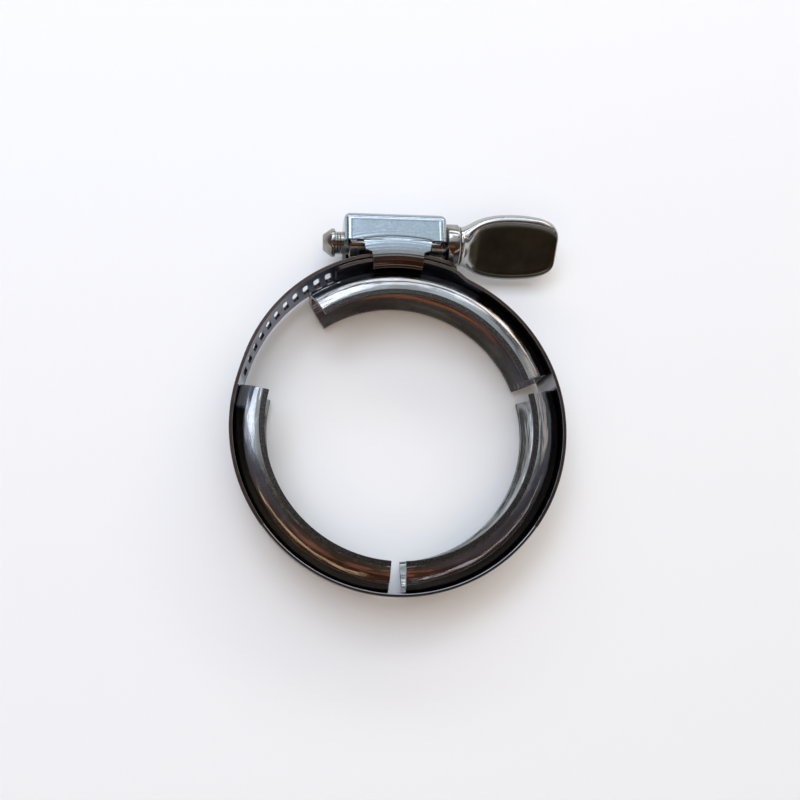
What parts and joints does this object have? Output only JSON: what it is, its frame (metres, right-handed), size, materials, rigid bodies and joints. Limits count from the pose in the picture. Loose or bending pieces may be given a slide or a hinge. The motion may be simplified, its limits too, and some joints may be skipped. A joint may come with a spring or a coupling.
{
  "type": "worm drive band clamp with V-section shoes",
  "caption": "Round band clamp with V-section shoes, a worm screw in a drawn housing and a thumb key, for joining two flanged pipe ends.",
  "frame": {"origin": "centre of the ring, halfway across the band", "axes": "+Z along the ring's axis, +X along the worm screw towards the thumb key, +Y from the ring's centre to the housing"},
  "size_m": [0.0804, 0.0917, 0.0148],
  "materials": {
    "pressed_steel": "pressed stainless sheet, tumbled to a soft shine, with ground lips",
    "band_steel": "rolled stainless strip with a satin face and slit edges",
    "drawn_steel": "drawn stainless sheet, bright, with soft dents from the clinching",
    "turned_steel": "turned stainless bar, bright",
    "cast_steel": "cast stainless, tumbled and polished"
  },
  "bodies": {
    "housing_side": {"housing": "drawn_steel", "upper_shoe": "pressed_steel", "band_fixed_length": "band_steel"},
    "screw": {"worm_screw": "turned_steel", "thumb_key": "cast_steel"},
    "right_side": {"lower_right_shoe": "pressed_steel", "band_middle_length": "band_steel"},
    "left_side": {"lower_left_shoe": "pressed_steel", "band_shoe_length": "band_steel"},
    "strip": {"band_slotted_length": "band_steel"}
  },
  "joints": [
    {"name": "screw_turn", "type": "hinge", "parent": "housing_side", "child": "screw", "pos_m": [0, 0.046, 0], "axis": [-1, 0, 0], "range_deg": [-360, 1800]},
    {"name": "right_flex", "type": "hinge", "parent": "housing_side", "child": "right_side", "pos_m": [0.03698, 0.01046, 0], "axis": [0, 0, 1], "range_deg": [-9, 1.82]},
    {"name": "bottom_flex", "type": "hinge", "parent": "right_side", "child": "left_side", "pos_m": [-0.00171, -0.03839, 0], "axis": [0, 0, 1], "range_deg": [-5.52, 1.12]},
    {"name": "left_flex", "type": "hinge", "parent": "left_side", "child": "strip", "pos_m": [-0.03721, 0.00962, 0], "axis": [0, 0, 1], "range_deg": [-8.36, 1.7]}
  ],
  "couplings": [
    {"joint": "right_flex", "follows": "screw_turn", "ratio": -0.0049848},
    {"joint": "bottom_flex", "follows": "screw_turn", "ratio": -0.0030485},
    {"joint": "left_flex", "follows": "screw_turn", "ratio": -0.004631}
  ]
}
